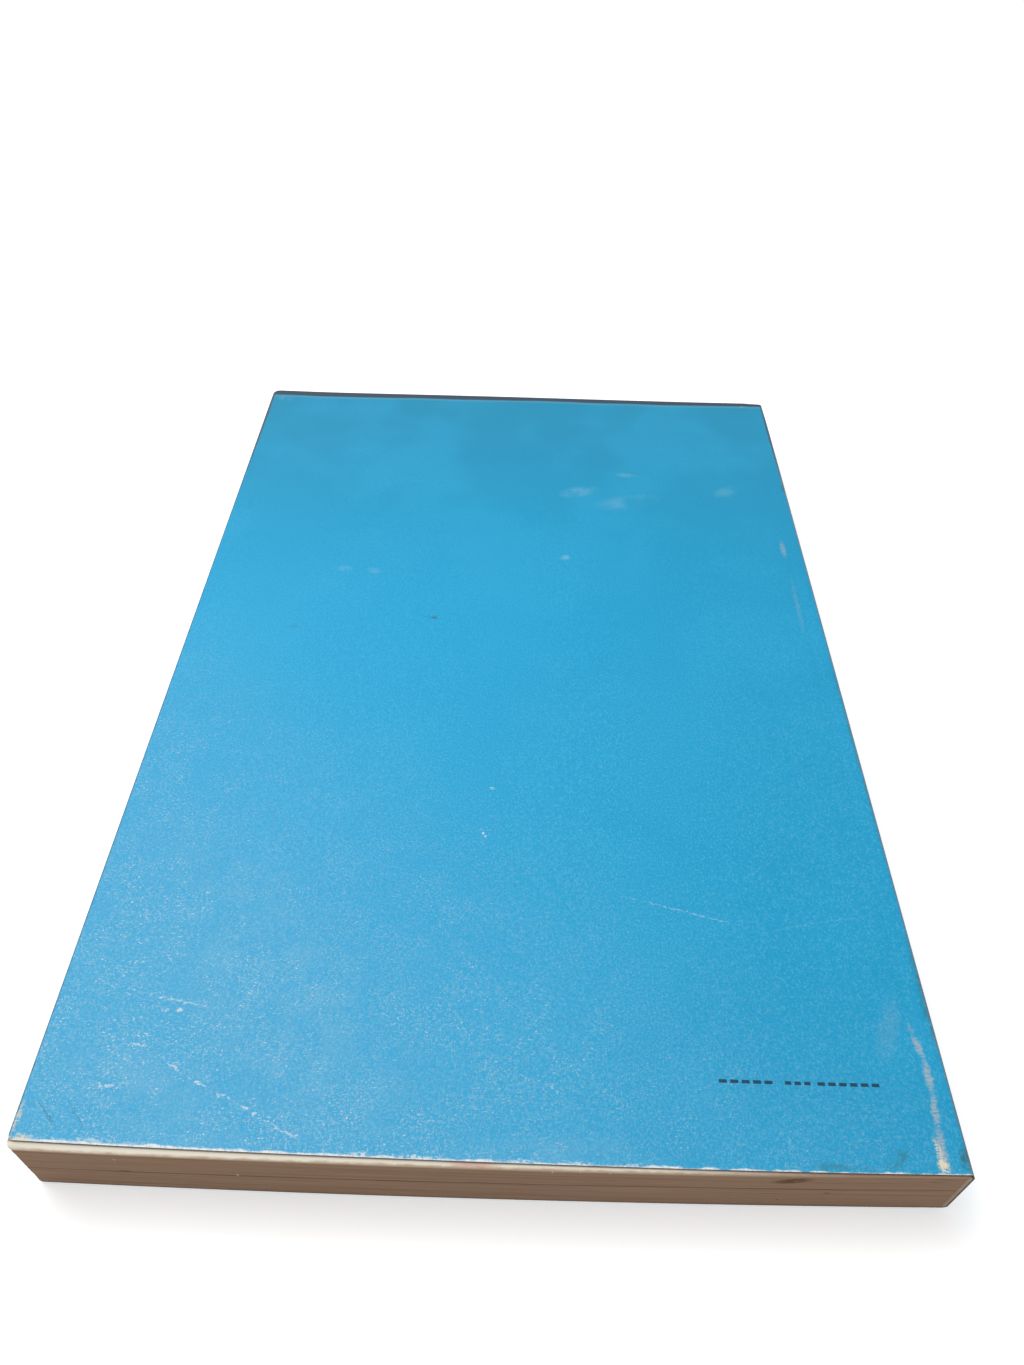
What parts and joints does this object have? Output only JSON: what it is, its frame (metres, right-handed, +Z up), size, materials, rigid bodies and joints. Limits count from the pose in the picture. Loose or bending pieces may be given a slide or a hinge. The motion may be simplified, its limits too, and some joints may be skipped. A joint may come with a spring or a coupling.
{
  "type": "paperback book",
  "caption": "Paperback book: a trimmed block of leaves glued at the spine into a plain card cover, whose front and back open along creases beside the spine.",
  "frame": {"origin": "on the table, below the middle of the book as it lies face down", "axes": "+Z up, out of the back cover; +X towards the spine; +Y towards the head of the book"},
  "size_m": [0.1524, 0.2286, 0.016],
  "materials": {
    "cover_card": "blue-printed card with a fine linen grain, semi-matte, worn to white at edges and crease",
    "leaves": "browned uncoated paper, fine lines of leaf edges",
    "binding_glue": "dull, slightly translucent dried glue"
  },
  "bodies": {
    "book": {"page_block": "leaves", "binding_glue": "binding_glue", "spine_cover": "cover_card"},
    "back_side": {"back_cover": "cover_card"},
    "front_side": {"front_cover": "cover_card"}
  },
  "joints": [
    {"name": "back_cover_hinge", "type": "hinge", "parent": "book", "child": "back_side", "pos_m": [0.0722, 0, 0.01497], "axis": [0, 1, 0], "range_deg": [0, 180]},
    {"name": "front_cover_hinge", "type": "hinge", "parent": "book", "child": "front_side", "pos_m": [0.0722, 0, -0.00015], "axis": [0, -1, 0], "range_deg": [0, 180]}
  ]
}
